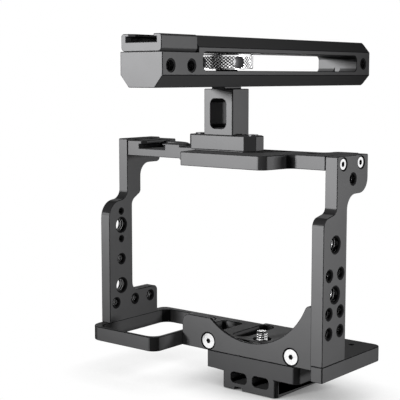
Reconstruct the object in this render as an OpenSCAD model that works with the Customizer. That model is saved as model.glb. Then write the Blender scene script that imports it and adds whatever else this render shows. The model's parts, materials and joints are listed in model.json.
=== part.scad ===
// A camera cage with a sliding top handle.
// Bottom plate with a grip loop, two arms and a top plate stand around the
// camera. A lens support plate closes the front and a dovetail rail hangs below.
// Millimetres. +X is the viewer's right seen from the lens side, -Y is the lens
// side, +Z is up. Every part is drawn from the lens axis (x), the front face of
// the arms (y) and the underside of the bottom plate (z), then moved as a whole
// so that the origin lies under the middle of the box.

/* [Cage] */
// Width over the two arms
cage_w = 162; // [156:1:176]
// From the lens axis to the outside of the right arm
lens_to_right = 60.5; // [58:0.5:64]
// Top of the top plate above the underside of the bottom plate
cage_h = 117; // [115:1:125]
// Thickness of the left arm
left_arm_t = 7; // [6.5:0.5:8]
// Thickness of the right arm
right_arm_t = 7.4; // [6.6:0.2:8]
// Thickness of the bottom plate
base_t = 8.4; // [8.2:0.2:9]
// Depth of the bottom plate behind the arm fronts
base_back = 61.8; // [60:0.2:64]
// Thickness of the top plate
top_t = 7.5; // [7:0.5:8]
// Depth of the lower part of the right arm
right_arm_d = 22.3; // [21:0.1:24]
// Depth of the lower part of the left arm
left_arm_d = 20.3; // [19:0.1:21]
// How far the left arm stands behind the right one
left_arm_setback = 4; // [3:0.5:5]
// How far the upper part of the right arm steps back
right_jog = 12.1; // [11:0.1:13]
// How far the upper part of the left arm steps back
left_jog = 16.2; // [15.5:0.1:17]
// Depth of the head of the right arm
right_head_d = 30.7; // [29:0.1:32]
// Jogs in the arms below the top
jog_drop = 34.1; // [32.6:0.5:36.6]

/* [Grip loop] */
// Front of the grip loop ahead of the arm fronts
loop_front = 7.4; // [6:0.2:9]
// From the lens axis to the right side of the loop
loop_side = 48.4; // [47:0.2:50]
// Wall of the grip loop
loop_wall = 2.4; // [2.2:0.1:3]
// Strip of plate under the left arm
loop_left_wall = 6; // [5.8:0.1:6.4]
// Wall behind the loop opening
loop_back_wall = 5; // [4.5:0.5:6]

/* [Lens support plate] */
// Thickness of the lens support plate
support_t = 6; // [5:0.5:7]
// Its front face behind the arm fronts
support_front = 17.5; // [16.5:0.5:18.5]
// Radius of the lens cut-out
lens_r = 41.5; // [40:0.5:43]
// Height of the lens axis
lens_z = 50.2; // [49.2:0.2:52]
// Height of the low shoulder on the left
shoulder_h = 19; // [18:0.5:20]
// Height of the horn on the right
horn_h = 35.2; // [33:0.2:37]
// Distance between the two plate screws
support_screw_span = 57.8; // [56:0.2:59]

/* [Top plate] */
// How far the middle of the top plate reaches ahead of the arm fronts
bulge_front = 9.5; // [8:0.5:11]
// Left edge of the bulge from the lens axis, at its front
bulge_left = 27.3; // [26.1:0.2:28.1]
// How much wider the bulge gets to the left towards the back
bulge_slant = 5.6; // [4:0.2:7]
// Right edge of the bulge from the lens axis
bulge_right = 28.4; // [27:0.2:30]
// Rear edge of the middle of the top plate
top_back = 35; // [34:0.5:37]
// Height of the left arm's top above the top plate
shoe_rise = 3.3; // [3:0.1:3.6]
// How much thinner the plate is under the shoe
shoe_thinner = 0.7; // [0.5:0.1:1.2]
// Rear edge of the shoe section
shoe_section_back = 50.5; // [49.5:0.5:53]

/* [Accessory shoes] */
// Width of the shoe slot
shoe_slot_w = 18.7; // [18.6:0.05:18.9]
// Opening between the lips
shoe_opening_w = 12.8; // [12.6:0.1:13.4]
// Height of the slot under the lips
shoe_slot_h = 2.6; // [2.2:0.1:2.8]
// Extra half width at the flared mouth
shoe_flare = 1; // [0.6:0.1:1.2]
// Length of the flared mouth
shoe_flare_l = 3; // [2:0.5:4]
// Length of the shoe slot in the top plate
shoe_slot_l = 19; // [18:0.5:22]

/* [Dovetail rail] */
// Width of the rail
rail_w = 37.6; // [37:0.1:38.2]
// Depth of the slab above the rail
slab_h = 10; // [9.5:0.5:11]
// Depth of the rail below the slab
rail_h = 10.1; // [9.7:0.1:11]
// Left end of the slab from the lens axis
slab_left = 29.6; // [29.4:0.2:31]
// Right end of the slab from the lens axis
slab_right = 33.5; // [32.5:0.5:35]
// Length of slab and rail
slab_l = 46.8; // [45:0.1:47]

/* [Riser and post] */
// Width of the riser block
riser_w = 46.2; // [45:0.2:46.6]
// Depth of the riser block
riser_d = 16.6; // [16.4:0.1:17]
// Height of the riser block
riser_h = 9; // [8.5:0.5:10]
// Width of the post
post_w = 20; // [19:0.1:20.5]
// Depth of the post
post_d = 15.1; // [14.5:0.1:15.3]
// Height of the post
post_h = 26.4; // [25:0.2:28]
// Centre of the post from the lens axis, to the left
post_left = 11.2; // [10.8:0.2:11.8]
// Front of the post behind the arm fronts
post_front = 3.9; // [3.5:0.1:4.5]

/* [Handle] */
// Length of the handle
handle_l = 199.7; // [190:0.1:210]
// Width of the handle
handle_w = 28.2; // [27.6:0.1:29]
// Height of the handle
handle_h = 26.8; // [26:0.1:28]
// Front end of the handle ahead of the arm fronts
handle_front = 58.3; // [56:0.1:60]
// Height of the side slot
slot_h = 9.6; // [9.2:0.2:10]
// Solid end of the handle behind the side slot
slot_end = 15.7; // [14.2:0.5:17.2]
// Front end of the side slot behind the handle's front end
slot_start = 32; // [31.5:0.5:34]
// Width of the slot for the clamp stud
stud_slot_w = 4; // [3.96:0.02:4.06]

/* [Handle shoe] */
// Width of the shoe block
shoe_block_w = 27; // [26:0.5:27.5]
// Length of the shoe block
shoe_block_l = 28; // [27:0.5:29]
// Height of the shoe block
shoe_block_h = 8.8; // [8.6:0.1:9.4]

/* [Clamp] */
// Diameter of the knurled wheel
wheel_d = 29.2; // [28:0.2:29.6]
// Height of the knurled wheel
wheel_h = 8.1; // [7.8:0.1:8.2]
// Diameter of the clamp stud
stud_d = 3.9; // [3.88:0.01:3.92]

/* [Tapped holes] */
// Wall radius of a quarter inch tapped hole
quarter_r = 2.6; // [2.55:0.05:2.8]
// Wall radius of a three eighths inch tapped hole
three_eighths_r = 4; // [3.95:0.05:4.3]
// Bevel at the mouth of a tapped hole
mouth_bevel = 0.7; // [0.5:0.1:0.8]

/* [Hidden] */
$fn = 64;
tiny = 0.01;
overrun = 1;

// Places that several parts share
rail_shift = 1;
right_x = lens_to_right;
left_x = lens_to_right - cage_w;
right_in = right_x - right_arm_t;
left_in = left_x + left_arm_t;
top_under = cage_h - top_t;
shoe_top = cage_h + shoe_rise;
shoe_under = top_under + shoe_thinner;
jog_z = cage_h - jog_drop;
support_back = support_front + support_t;
slab_front = support_front;
slab_back = slab_front + slab_l;
rail_bottom = -slab_h - rail_h;
rail_mid = (slab_right - slab_left) / 2 - rail_shift;
post_x = -post_left;
post_y = post_front + post_d / 2;
riser_top = cage_h + riser_h;
post_top = riser_top + post_h;
handle_back = handle_l - handle_front;
handle_top = post_top + handle_h;
handle_mid_z = post_top + handle_h / 2;
slot_floor = handle_mid_z - slot_h / 2;
slot_ceiling = handle_mid_z + slot_h / 2;
slot_y0 = slot_start - handle_front;
slot_y1 = handle_back - slot_end;
left_front = left_arm_setback;
left_lower_back = left_front + left_arm_d;
left_upper_front = left_front + left_jog;
right_head_back = right_jog + right_head_d;

// Round edges and corners
edge_r = 0.8;
small_r = 3;
medium_r = 5;
large_r = 8;
loop_r = 8.5;
horn_r = 3;
riser_cut = 4.8;
arc_steps = 10;

// Arm outlines
right_jog_up = 2.3;
right_jog_rise = 4.9;
right_jog_front_r = 5;
right_jog_back_r = 4;
left_jog_drop = 0.8;
left_jog_up = 1.1;
left_jog_front_r = 10;
left_jog_back_r = 6;
left_jog_rise = 5.5;
right_head_h = 20.5;
left_head_h = 12.1;
right_notch_z = cage_h - right_head_h;
left_shelf_z = cage_h - left_head_h;
left_neck_d = 12;
left_back_jog_drop = 1.6;
left_foot_h = 25.8;
left_foot_back = 47.3;

// Holes in the right arm: the lowest pair and the big hole under the jog, and shares between them
right_hole_y = 11.3;
right_pair_half = 5.5;
right_low_z = 25.2;
right_high_drop = 11.4;
right_high_z = jog_z - right_high_drop;
right_big_shares = [0.43, 1];
right_pair_shares = [0, 0.227, 0.661];
right_head_hole_y = 27.7;
right_head_hole_drop = 12.5;
arm_screw_drop = 4.2;
right_screw_y = [18.2, 35.8];
left_screw_y = [31.8, 45];

// Holes in the left arm
left_hole_y = 14.5;
left_high_drop = 15;
left_low_above_foot = 4.7;
left_high_z = jog_z - left_high_drop;
left_low_z = left_foot_h + left_low_above_foot;
left_small_share = 0.44;
left_foot_hole_z = 20.2;
left_foot_hole_y = [9.5, 26.4, 40.6];
locating_half = 8.5;
locating_r = 1.3;

// Openings in the bottom plate
window_left = 46.5;
window_right = 31.2;
window_front = 33;
window_back = 55.2;
slot_mid = 15.5;
slot_wide = 11;
slot_front = 28;
slot_back = 60.3;
back_lip = 2.7;
back_lip_half = 21.5;
strap_hole = [46.5, 52];
strap_hole_r = 1.4;

// Top plate outline and holes
front_edge_y = 11.8;
front_edge_x = 31.8;
left_front_edge_y = 12;
left_bridge_x = 40;
shoe_front_y = 20.8;
shoe_right_x = 53.3;
shoe_section_r = 7;
head_edge_back = 45.5;
head_edge_x = 39;
top_holes = [[3.5, 29.5], [15.6, 29.5], [36.8, 26.5]];
shoe_mid_x = left_in + 19.5;
shoe_wall_holes_x = left_in + 3.4;
shoe_wall_holes_y = [25.6, 38.7];
shoe_rail_drop = 0.7;
shoe_rail_top = shoe_top - shoe_rail_drop;
shoe_land_rise = 1.4;
shoe_land_top = cage_h + shoe_land_rise;
shoe_land_back = 45;
shoe_land_r = 24;
cage_lip_t = 1;
lip_t = 1.5;

// Screws
cap_head_d = 5.9;
cap_head_h = 2.6;
cap_recess_d = 6.8;
cap_recess_h = 3.1;
cap_shank_d = 3;
cap_hex_d = 2.9;
cap_hex_h = 1.5;
arm_screw_l = 11;
base_screw_grip = 7;
base_screw_head_d = 5;
base_screw_head_h = 2.8;
base_screw_recess_d = 5.3;
base_screw_recess_h = 3.2;
base_screw_x = 3;
arm_base_right_y = [5.5, 17];
arm_base_left_y = [11, 38];
support_head_d = 8.9;
support_head_h = 2.4;
support_recess_d = 10;
support_recess_h = 2.6;
support_shank_d = 4;
support_grip = 6;
arc_rim_t = 1.6;
support_screw_z = 5.3;
support_hex_d = 2.9;
slab_screw_head_d = 6.4;
slab_screw_head_h = 3.4;
slab_screw_recess_d = 7;
slab_screw_recess_h = 4;
slab_screw_shank_d = 4;
slab_screw_grip = 6;
slab_screw_left = 25.5;
slab_screw_right = 27;
slab_screw_y = 45;
riser_screw_head_d = 6.4;
riser_screw_head_h = 2.2;
riser_screw_recess_d = 7;
riser_screw_recess_h = 1.4;
riser_screw_shank_d = 3;
riser_screw_grip = 6;
riser_screw_half = 17.8;
post_screw_half = 7.6;
post_screw_up = 12;
shoe_screw_half = 5.4;
shoe_screw_y = 14.5;
shoe_screw_head_d = 5.6;
shoe_screw_head_h = 1.7;
shoe_screw_d = 3;
shoe_screw_grip = 6;
shoe_screw_hex_d = 2.1;
screw_gap = 0.1;

// Camera screw
camera_screw_y = 31;
camera_screw_d = 6.2;
camera_bore_d = 6.4;
camera_screw_up = 4.8;
camera_head_d = 13;
camera_head_h = 3;
camera_recess_d = 13.6;
camera_recess_h = 4;
camera_groove_d = 5;
camera_clip_d = 10;
camera_clip_h = 1;
camera_clip_sunk = 1.4;
camera_clip_recess_d = 10.6;
coin_slot_w = 1.8;
coin_slot_h = 1.4;
screw_point = 0.8;

// Rail details
pocket_w = 11;
pocket_h = 6;
pocket_l = 14;
pocket_half = 7.6;
pocket_mid_z = 12.9;
pocket_r = 2.2;
groove_deep = 2.6;
groove_lip = 2.6;
rail_corner_r = 2.5;
groove_top = 12.6;
groove_bottom = 17.8;
groove_flat = 1.3;
notch_w = 5.1;
notch_h = 1.6;
notch_l = 10;
notch_left = 7.8;
slab_r = 4;

// Riser and post details
riser_ahead = 1;
riser_foot_h = 0.9;
riser_foot_in = 2;
post_window_w = 10.8;
post_window_h = 16.2;
post_window_up = 3.7;
tongue_w = 9;
tongue_h = 1.5;
shoulder_drop = 1.1;
groove_play = 0.08;
groove_depth = 1.5;
stud_hole_depth = 5.6;

// Handle details
chamfer_x = 5.4;
chamfer_z = 6.2;
end_chamfer = 0.8;
slot_corner_r = 2.7;
step_gap = 0.3;
side_hole_y = [6.4, 22.7];
side_hole_share = 0.617;
back_hole_y = 7.8;
tongue_groove_y0 = 34;
tongue_groove_end = 19.7;
shoe_corner_r = 2.2;
shoe_top_r = 1.5;

// Wheel details
washer_d = 12;
washer_h = 0.9;
rim_h = 6.7;
rim_under = 0.3;
rim_groove = 0.5;
rim_groove_deep = 0.9;
hub_d = 20;
bore_play = 0.05;
capstan_r = 2.7;
capstan_deep = 4;
capstan_turn = -25;
capstan_count = 4;
wheel_edge = 0.4;

// Colours
anodised = [0.16, 0.16, 0.17];
bright_steel = [0.85, 0.85, 0.86];
dark_steel = [0.40, 0.40, 0.41];
nylon = [0.05, 0.05, 0.05];

// A height at a share of the way from low to high
function between(low, high, share) = low + (high - low) * share;

// Outlines with rounded corners: each point is [x, y, radius]
function flat(p) = [p[0], p[1]];
function unit(v) = v / norm(v);
function cross_z(u, v) = u[0] * v[1] - u[1] * v[0];
function corner_arc(a, b, c, r) =
    let (u = unit(a - b), v = unit(c - b),
         half = acos(max(-1, min(1, u * v))) / 2,
         start = b + u * r / tan(half),
         middle = b + unit(u + v) * r / sin(half),
         from = start - middle,
         turn = (cross_z(u, v) > 0 ? -1 : 1) * (180 - 2 * half))
    [for (i = [0 : arc_steps])
        let (t = turn * i / arc_steps)
        middle + [from[0] * cos(t) - from[1] * sin(t), from[0] * sin(t) + from[1] * cos(t)]];
function rounded(points) =
    let (n = len(points))
    [for (i = [0 : n - 1])
        for (p = points[i][2] > 0
                 ? corner_arc(flat(points[(i + n - 1) % n]), flat(points[i]),
                              flat(points[(i + 1) % n]), points[i][2])
                 : [flat(points[i])]) p];

function box_outline(x0, y0, x1, y1, r) = [[x0, y0, r], [x1, y0, r], [x1, y1, r], [x0, y1, r]];

function cut_box_outline(x0, y0, x1, y1, cut, r) =
    [[x0 + cut, y0, r], [x1 - cut, y0, r], [x1, y0 + cut, r], [x1, y1 - cut, r],
     [x1 - cut, y1, r], [x0 + cut, y1, r], [x0, y1 - cut, r], [x0, y0 + cut, r]];

// A plate drawn in plan, from z0 to z1
module plan_plate(points, z0, z1) {
    translate([0, 0, z0])
        linear_extrude(z1 - z0)
            polygon(rounded(points));
}

// A plate drawn in the y-z plane, from x0 to x1
module side_plate(points, x0, x1) {
    translate([x0, 0, 0])
        rotate([90, 0, 90])
            linear_extrude(x1 - x0)
                polygon(rounded(points));
}

// A plate drawn in the x-z plane, from y0 to y1
module front_plate(points, y0, y1) {
    translate([0, y1, 0])
        rotate([90, 0, 0])
            linear_extrude(y1 - y0)
                polygon(rounded(points));
}

// A round bore along x with a bevelled mouth at both ends
module bore_x(r, y, z, x0, x1) {
    translate([x0, y, z])
        rotate([0, 90, 0])
            bevelled_bore(r, x1 - x0);
}

// A round bore along z with a bevelled mouth at both ends
module bore_z(r, x, y, z0, z1) {
    translate([x, y, z0])
        bevelled_bore(r, z1 - z0);
}

module bevelled_bore(r, l) {
    translate([0, 0, -tiny])
        cylinder(h = l + 2 * tiny, r = r);
    translate([0, 0, -tiny])
        cylinder(h = mouth_bevel + tiny, r1 = r + mouth_bevel + tiny, r2 = r);
    translate([0, 0, l - mouth_bevel])
        cylinder(h = mouth_bevel + tiny, r1 = r, r2 = r + mouth_bevel + tiny);
}

// A cap screw with its head above z = 0 and its shank below, with a hex socket
module cap_screw(head_d, head_h, shank_d, shank_l, hex_d, hex_h) {
    difference() {
        union() {
            cylinder(h = head_h, d = head_d);
            translate([0, 0, -shank_l])
                cylinder(h = shank_l + tiny, d = shank_d);
        }
        translate([0, 0, head_h - hex_h])
            cylinder(h = hex_h + tiny, d = hex_d, $fn = 6);
    }
}

// The hole for a cap screw: recess above z = 0, shank hole below
module screw_hole(recess_d, recess_h, shank_d, shank_l) {
    cylinder(h = recess_h + tiny, d = recess_d);
    translate([0, 0, -shank_l])
        cylinder(h = shank_l + tiny, d = shank_d + screw_gap);
}

// Both arms share one height for the screws into the top plate
module at_arm_top_screws() {
    for (y = right_screw_y)
        translate([right_x - cap_recess_h, y, cage_h - arm_screw_drop])
            rotate([0, 90, 0])
                children();
    for (y = left_screw_y)
        translate([left_x + cap_recess_h, y, shoe_top - arm_screw_drop])
            rotate([0, -90, 0])
                children();
}

// Screws from under the bottom plate up into the arms
module at_arm_base_screws() {
    for (y = arm_base_right_y)
        translate([right_x - right_arm_t / 2, y, base_screw_recess_h])
            rotate([180, 0, 0])
                children();
    for (y = arm_base_left_y)
        translate([left_x + base_screw_x, y, base_screw_recess_h])
            rotate([180, 0, 0])
                children();
}

module at_support_screws() {
    for (side = [-1, 1])
        translate([side * support_screw_span / 2, support_front + support_recess_h, support_screw_z])
            rotate([90, 0, 0])
                children();
}

module at_slab_screws() {
    for (x = [-slab_screw_left, slab_screw_right])
        translate([x, slab_screw_y, -slab_h + slab_screw_recess_h])
            rotate([180, 0, 0])
                children();
}

module at_riser_screws() {
    for (side = [-1, 1])
        translate([post_x + side * riser_screw_half, post_y, riser_top - riser_screw_recess_h])
            children();
}

module at_post_screws() {
    for (side = [-1, 1])
        translate([post_x + side * post_screw_half, post_y, cage_h + base_screw_recess_h])
            rotate([180, 0, 0])
                children();
}

module at_shoe_screws() {
    for (side = [-1, 1])
        translate([post_x + side * shoe_screw_half, shoe_screw_y - handle_front, shoe_block_floor])
            children();
}

// Bottom plate with the grip loop and a narrow finger under the right arm
module base_plate() {
    outline = [[left_x, -loop_front, loop_r], [-loop_side, -loop_front, small_r * 2],
               [-loop_side, support_back, 0], [right_in, support_back, 0],
               [right_in, 0, edge_r], [right_x, 0, edge_r], [right_x, base_back, medium_r],
               [back_lip_half, base_back, 0], [back_lip_half, base_back + back_lip, edge_r],
               [-back_lip_half, base_back + back_lip, edge_r], [-back_lip_half, base_back, 0],
               [left_x, base_back, medium_r]];
    grip = box_outline(left_x + loop_left_wall, -loop_front + loop_wall,
                       -loop_side - loop_wall, base_back - loop_back_wall, loop_r - loop_wall);
    window = box_outline(-window_left, window_front, -window_right, window_back, small_r);
    slot = box_outline(-slot_mid - slot_wide / 2, slot_front, -slot_mid + slot_wide / 2,
                       slot_back, medium_r);
    color(anodised)
        difference() {
            plan_plate(outline, 0, base_t);
            plan_plate(grip, -tiny, base_t + tiny);
            plan_plate(window, -tiny, base_t + tiny);
            plan_plate(slot, -tiny, base_t + tiny);
            translate([0, camera_screw_y, -tiny])
                cylinder(h = base_t + 2 * tiny, d = camera_bore_d);
            translate([0, camera_screw_y, base_t - camera_clip_sunk])
                cylinder(h = camera_clip_sunk + tiny, d = camera_clip_recess_d);
            translate([strap_hole[0], strap_hole[1], -tiny])
                cylinder(h = base_t + 2 * tiny, r = strap_hole_r);
            at_arm_base_screws()
                screw_hole(base_screw_recess_d, base_screw_recess_h, cap_shank_d, base_t);
            at_support_screws()
                screw_hole(support_recess_d, 0, support_shank_d,
                           support_t - support_recess_h + support_grip);
            at_slab_screws()
                screw_hole(slab_screw_shank_d, 0, slab_screw_shank_d,
                           slab_h - slab_screw_recess_h + slab_screw_grip);
        }
}

// Left arm: front and rear jog, a shelf under the shoe section and a foot
module left_arm() {
    upper_back = left_upper_front + left_neck_d;
    back_jog_z = jog_z - left_back_jog_drop;
    outline = [[left_front, base_t, 0], [left_front, jog_z - left_jog_drop, left_jog_front_r],
               [left_upper_front, jog_z + left_jog_up, left_jog_back_r],
               [left_upper_front, shoe_top, edge_r], [shoe_section_back, shoe_top, edge_r],
               [shoe_section_back, left_shelf_z, small_r], [upper_back, left_shelf_z, large_r],
               [upper_back, back_jog_z + left_jog_rise, small_r],
               [left_lower_back, back_jog_z + edge_r, medium_r],
               [left_lower_back, left_foot_h, medium_r], [left_foot_back, left_foot_h, small_r],
               [left_foot_back, base_t, 0]];
    color(anodised)
        difference() {
            side_plate(outline, left_x, left_in);
            for (z = [left_low_z, left_high_z])
                bore_x(three_eighths_r, left_hole_y, z, left_x, left_in);
            for (side = [-1, 1])
                bore_x(locating_r, left_hole_y, left_high_z + side * locating_half, left_x, left_in);
            bore_x(quarter_r, left_hole_y, between(left_low_z, left_high_z, left_small_share),
                   left_x, left_in);
            for (y = left_foot_hole_y)
                bore_x(quarter_r, y, left_foot_hole_z, left_x, left_in);
            at_arm_top_screws()
                screw_hole(cap_recess_d, cap_recess_h, cap_shank_d, right_arm_t);
            at_arm_base_screws()
                screw_hole(cap_shank_d, 0, cap_shank_d, base_t - base_screw_recess_h + base_screw_grip);
        }
}

// Right arm: forward lower part, jog, and a head that reaches back
module right_arm() {
    outline = [[0, base_t, 0], [0, jog_z + right_jog_up, right_jog_front_r],
               [right_jog, jog_z + right_jog_rise, right_jog_back_r],
               [right_jog, cage_h, edge_r], [right_head_back, cage_h, edge_r],
               [right_head_back, right_notch_z, large_r], [right_arm_d, right_notch_z, large_r],
               [right_arm_d, base_t, 0]];
    color(anodised)
        difference() {
            side_plate(outline, right_in, right_x);
            for (share = right_big_shares)
                bore_x(three_eighths_r, right_hole_y, between(right_low_z, right_high_z, share),
                       right_in, right_x);
            for (share = right_pair_shares)
                for (side = [-1, 1])
                    bore_x(quarter_r, right_hole_y + side * right_pair_half,
                           between(right_low_z, right_high_z, share), right_in, right_x);
            bore_x(quarter_r, right_head_hole_y, cage_h - right_head_hole_drop, right_in, right_x);
            at_arm_top_screws()
                screw_hole(cap_recess_d, cap_recess_h, cap_shank_d, right_arm_t);
            at_arm_base_screws()
                screw_hole(cap_shank_d, 0, cap_shank_d, base_t - base_screw_recess_h + base_screw_grip);
        }
}

// The slot of an accessory shoe, open to -Y and upwards. The floor is at z = 0
module shoe_slot(length, lip, mid_x, front_y) {
    slot_half = shoe_slot_w / 2;
    open_half = shoe_opening_w / 2;
    flare = shoe_flare;
    translate([mid_x, front_y, 0]) {
        plan_plate([[-slot_half - flare, -tiny, 0], [slot_half + flare, -tiny, 0],
                    [slot_half, shoe_flare_l, 0], [slot_half, length, 0],
                    [-slot_half, length, 0], [-slot_half, shoe_flare_l, 0]], 0, shoe_slot_h);
        plan_plate([[-open_half - 2 * flare, -tiny, 0], [open_half + 2 * flare, -tiny, 0],
                    [open_half, shoe_flare_l, 0], [open_half, length, 0],
                    [-open_half, length, 0], [-open_half, shoe_flare_l, 0]],
                   shoe_slot_h - tiny, shoe_slot_h + lip + tiny);
    }
}

// Top plate: bulge over the lens, low land with the shoe slot and a higher rail left of it
module top_plate() {
    middle = [[right_in, front_edge_y, 0], [front_edge_x, front_edge_y, medium_r],
              [bulge_right, -bulge_front, medium_r], [-bulge_left, -bulge_front, edge_r * 2],
              [-bulge_left - bulge_slant, left_front_edge_y, medium_r],
              [-left_bridge_x, shoe_front_y, small_r],
              [-shoe_right_x, shoe_front_y, 0], [-shoe_right_x, top_back, 0],
              [head_edge_x, top_back, medium_r], [head_edge_x, head_edge_back, small_r],
              [right_in, head_edge_back, 0]];
    section = [[left_in, shoe_front_y, 0], [-shoe_right_x, shoe_front_y, 0],
               [-shoe_right_x, shoe_section_back, shoe_section_r], [left_in, shoe_section_back, 0]];
    land = [[left_in, shoe_front_y, 0], [-shoe_right_x, shoe_front_y, 0],
            [-shoe_right_x, shoe_land_back, shoe_land_r], [left_in, shoe_land_back, 0]];
    rail = [[shoe_front_y, cage_h - tiny, 0], [shoe_front_y, shoe_rail_top, edge_r],
            [shoe_section_back, shoe_rail_top, edge_r], [shoe_section_back, cage_h - tiny, 0]];
    color(anodised)
        difference() {
            union() {
                plan_plate(middle, top_under, cage_h);
                plan_plate(section, shoe_under, cage_h);
                plan_plate(land, cage_h - tiny, shoe_land_top);
                side_plate(rail, left_in, shoe_mid_x - shoe_opening_w / 2);
            }
            translate([0, 0, shoe_land_top - cage_lip_t - shoe_slot_h])
                shoe_slot(shoe_slot_l, shoe_top - shoe_land_top + cage_lip_t, shoe_mid_x, shoe_front_y);
            for (p = top_holes)
                bore_z(quarter_r, p[0], p[1], top_under, cage_h);
            for (y = shoe_wall_holes_y)
                bore_z(quarter_r, shoe_wall_holes_x, y, shoe_under, shoe_rail_top);
            at_arm_top_screws()
                screw_hole(cap_shank_d, 0, cap_shank_d, arm_screw_l);
            at_riser_screws()
                screw_hole(riser_screw_shank_d, 0, riser_screw_shank_d,
                           riser_h - riser_screw_recess_h + riser_screw_grip);
        }
}

// Lens support plate: an arc under the lens, bevelled behind, a shoulder left and a horn right
module lens_support_plate() {
    horn_z = horn_h - horn_r;
    horn_x = sqrt(pow(lens_r + horn_r, 2) - pow(lens_z - horn_z, 2));
    touch = lens_r / (lens_r + horn_r);
    relief = support_t - arc_rim_t + tiny;
    outline = [[-loop_side, 0, 0], [right_in, 0, 0], [right_in, horn_h, 0], [0, horn_h, 0],
               [0, shoulder_h, 0], [-loop_side, shoulder_h, medium_r]];
    color(anodised)
        difference() {
            front_plate(outline, support_front, support_back);
            translate([0, support_back + tiny, lens_z])
                rotate([90, 0, 0]) {
                    cylinder(h = support_t + 2 * tiny, r = lens_r, $fn = 128);
                    cylinder(h = relief, r1 = lens_r + relief, r2 = lens_r, $fn = 128);
                }
            difference() {
                front_plate(box_outline(horn_x * touch, lens_z - (lens_z - horn_z) * touch,
                                        horn_x, horn_h + overrun, 0),
                            support_front - tiny, support_back + tiny);
                translate([horn_x, support_back + overrun, horn_z])
                    rotate([90, 0, 0])
                        cylinder(h = support_t + 2 * overrun, r = horn_r);
            }
            at_support_screws()
                screw_hole(support_recess_d, support_recess_h, support_shank_d, support_t);
        }
}

module lens_support_screws() {
    color(bright_steel)
        at_support_screws()
            cap_screw(support_head_d, support_head_h, support_shank_d,
                      support_t - support_recess_h + support_grip, support_hex_d, cap_hex_h);
}

module arm_top_screws() {
    color(bright_steel)
        at_arm_top_screws()
            cap_screw(cap_head_d, cap_head_h, cap_shank_d, arm_screw_l, cap_hex_d, cap_hex_h);
}

module arm_base_screws() {
    color(dark_steel)
        at_arm_base_screws()
            cap_screw(base_screw_head_d, base_screw_head_h, cap_shank_d,
                      base_t - base_screw_recess_h + base_screw_grip, cap_hex_d, cap_hex_h);
}

// Slab and dovetail rail in one piece, with two pockets in the front face
module quick_release_plate() {
    slab = [[-slab_left, slab_front, edge_r], [slab_right, slab_front, slab_r],
            [slab_right, slab_back, slab_r], [-slab_left, slab_back, edge_r]];
    rail_left = rail_mid - rail_w / 2;
    rail_right = rail_mid + rail_w / 2;
    color(anodised)
        difference() {
            union() {
                plan_plate(slab, -slab_h, 0);
                intersection() {
                    front_plate([[rail_left, rail_bottom, edge_r], [rail_right, rail_bottom, edge_r],
                                 [rail_right, -slab_h + tiny, 0], [rail_left, -slab_h + tiny, 0]],
                                slab_front, slab_back);
                    plan_plate([[rail_left, slab_front, edge_r], [rail_right, slab_front, rail_corner_r],
                                [rail_right, slab_back, rail_corner_r], [rail_left, slab_back, edge_r]],
                               rail_bottom - tiny, 0);
                }
            }
            for (side = [-1, 1])
                translate([rail_mid + side * rail_w / 2, 0, 0])
                    mirror([side > 0 ? 1 : 0, 0, 0])
                        front_plate([[-tiny, -groove_bottom, 0], [groove_deep, -groove_bottom + groove_flat, 0],
                                     [groove_deep, -groove_top - groove_flat, 0], [-tiny, -groove_top, 0]],
                                    slab_front + groove_lip, slab_back + tiny);
            for (side = [-1, 1])
                front_plate(box_outline(rail_mid + side * pocket_half - pocket_w / 2,
                                        -pocket_mid_z - pocket_h / 2,
                                        rail_mid + side * pocket_half + pocket_w / 2,
                                        -pocket_mid_z + pocket_h / 2, pocket_r),
                            slab_front - tiny, slab_front + pocket_l);
            front_plate(box_outline(rail_mid - notch_left - notch_w / 2, rail_bottom - notch_h,
                                    rail_mid - notch_left + notch_w / 2, rail_bottom + notch_h,
                                    edge_r),
                        slab_front - tiny, slab_front + notch_l);
            translate([0, camera_screw_y, rail_bottom - tiny]) {
                cylinder(h = slab_h + rail_h + 2 * tiny, d = camera_bore_d);
                cylinder(h = camera_recess_h + tiny, d = camera_recess_d);
            }
            at_slab_screws()
                screw_hole(slab_screw_recess_d, slab_screw_recess_h, slab_screw_shank_d, slab_h);
        }
}

module quick_release_screws() {
    color(dark_steel)
        at_slab_screws()
            cap_screw(slab_screw_head_d, slab_screw_head_h, slab_screw_shank_d,
                      slab_h - slab_screw_recess_h + slab_screw_grip, cap_hex_d, cap_hex_h);
}

// Quarter inch screw with a coin slot, held captive by a clip above the plate
module camera_screw() {
    head_z = rail_bottom + camera_recess_h - camera_head_h;
    tip_z = base_t + camera_screw_up;
    color(bright_steel)
        translate([0, camera_screw_y, 0])
            difference() {
                union() {
                    translate([0, 0, head_z])
                        cylinder(h = camera_head_h, d = camera_head_d);
                    translate([0, 0, head_z])
                        cylinder(h = tip_z - screw_point - head_z, d = camera_screw_d);
                    translate([0, 0, tip_z - screw_point])
                        cylinder(h = screw_point, d1 = camera_screw_d, d2 = camera_screw_d - 2 * screw_point);
                }
                translate([-camera_head_d / 2, -coin_slot_w / 2, head_z - tiny])
                    cube([camera_head_d, coin_slot_w, coin_slot_h]);
                translate([0, 0, base_t - camera_clip_sunk])
                    difference() {
                        cylinder(h = camera_clip_h, d = camera_screw_d + overrun);
                        translate([0, 0, -tiny])
                            cylinder(h = camera_clip_h + 2 * tiny, d = camera_groove_d);
                    }
            }
}

module camera_screw_clip() {
    color(nylon)
        translate([0, camera_screw_y, base_t - camera_clip_sunk])
            difference() {
                cylinder(h = camera_clip_h, d = camera_clip_d);
                translate([0, 0, -tiny])
                    cylinder(h = camera_clip_h + 2 * tiny, d = camera_groove_d + screw_gap);
            }
}

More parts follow.
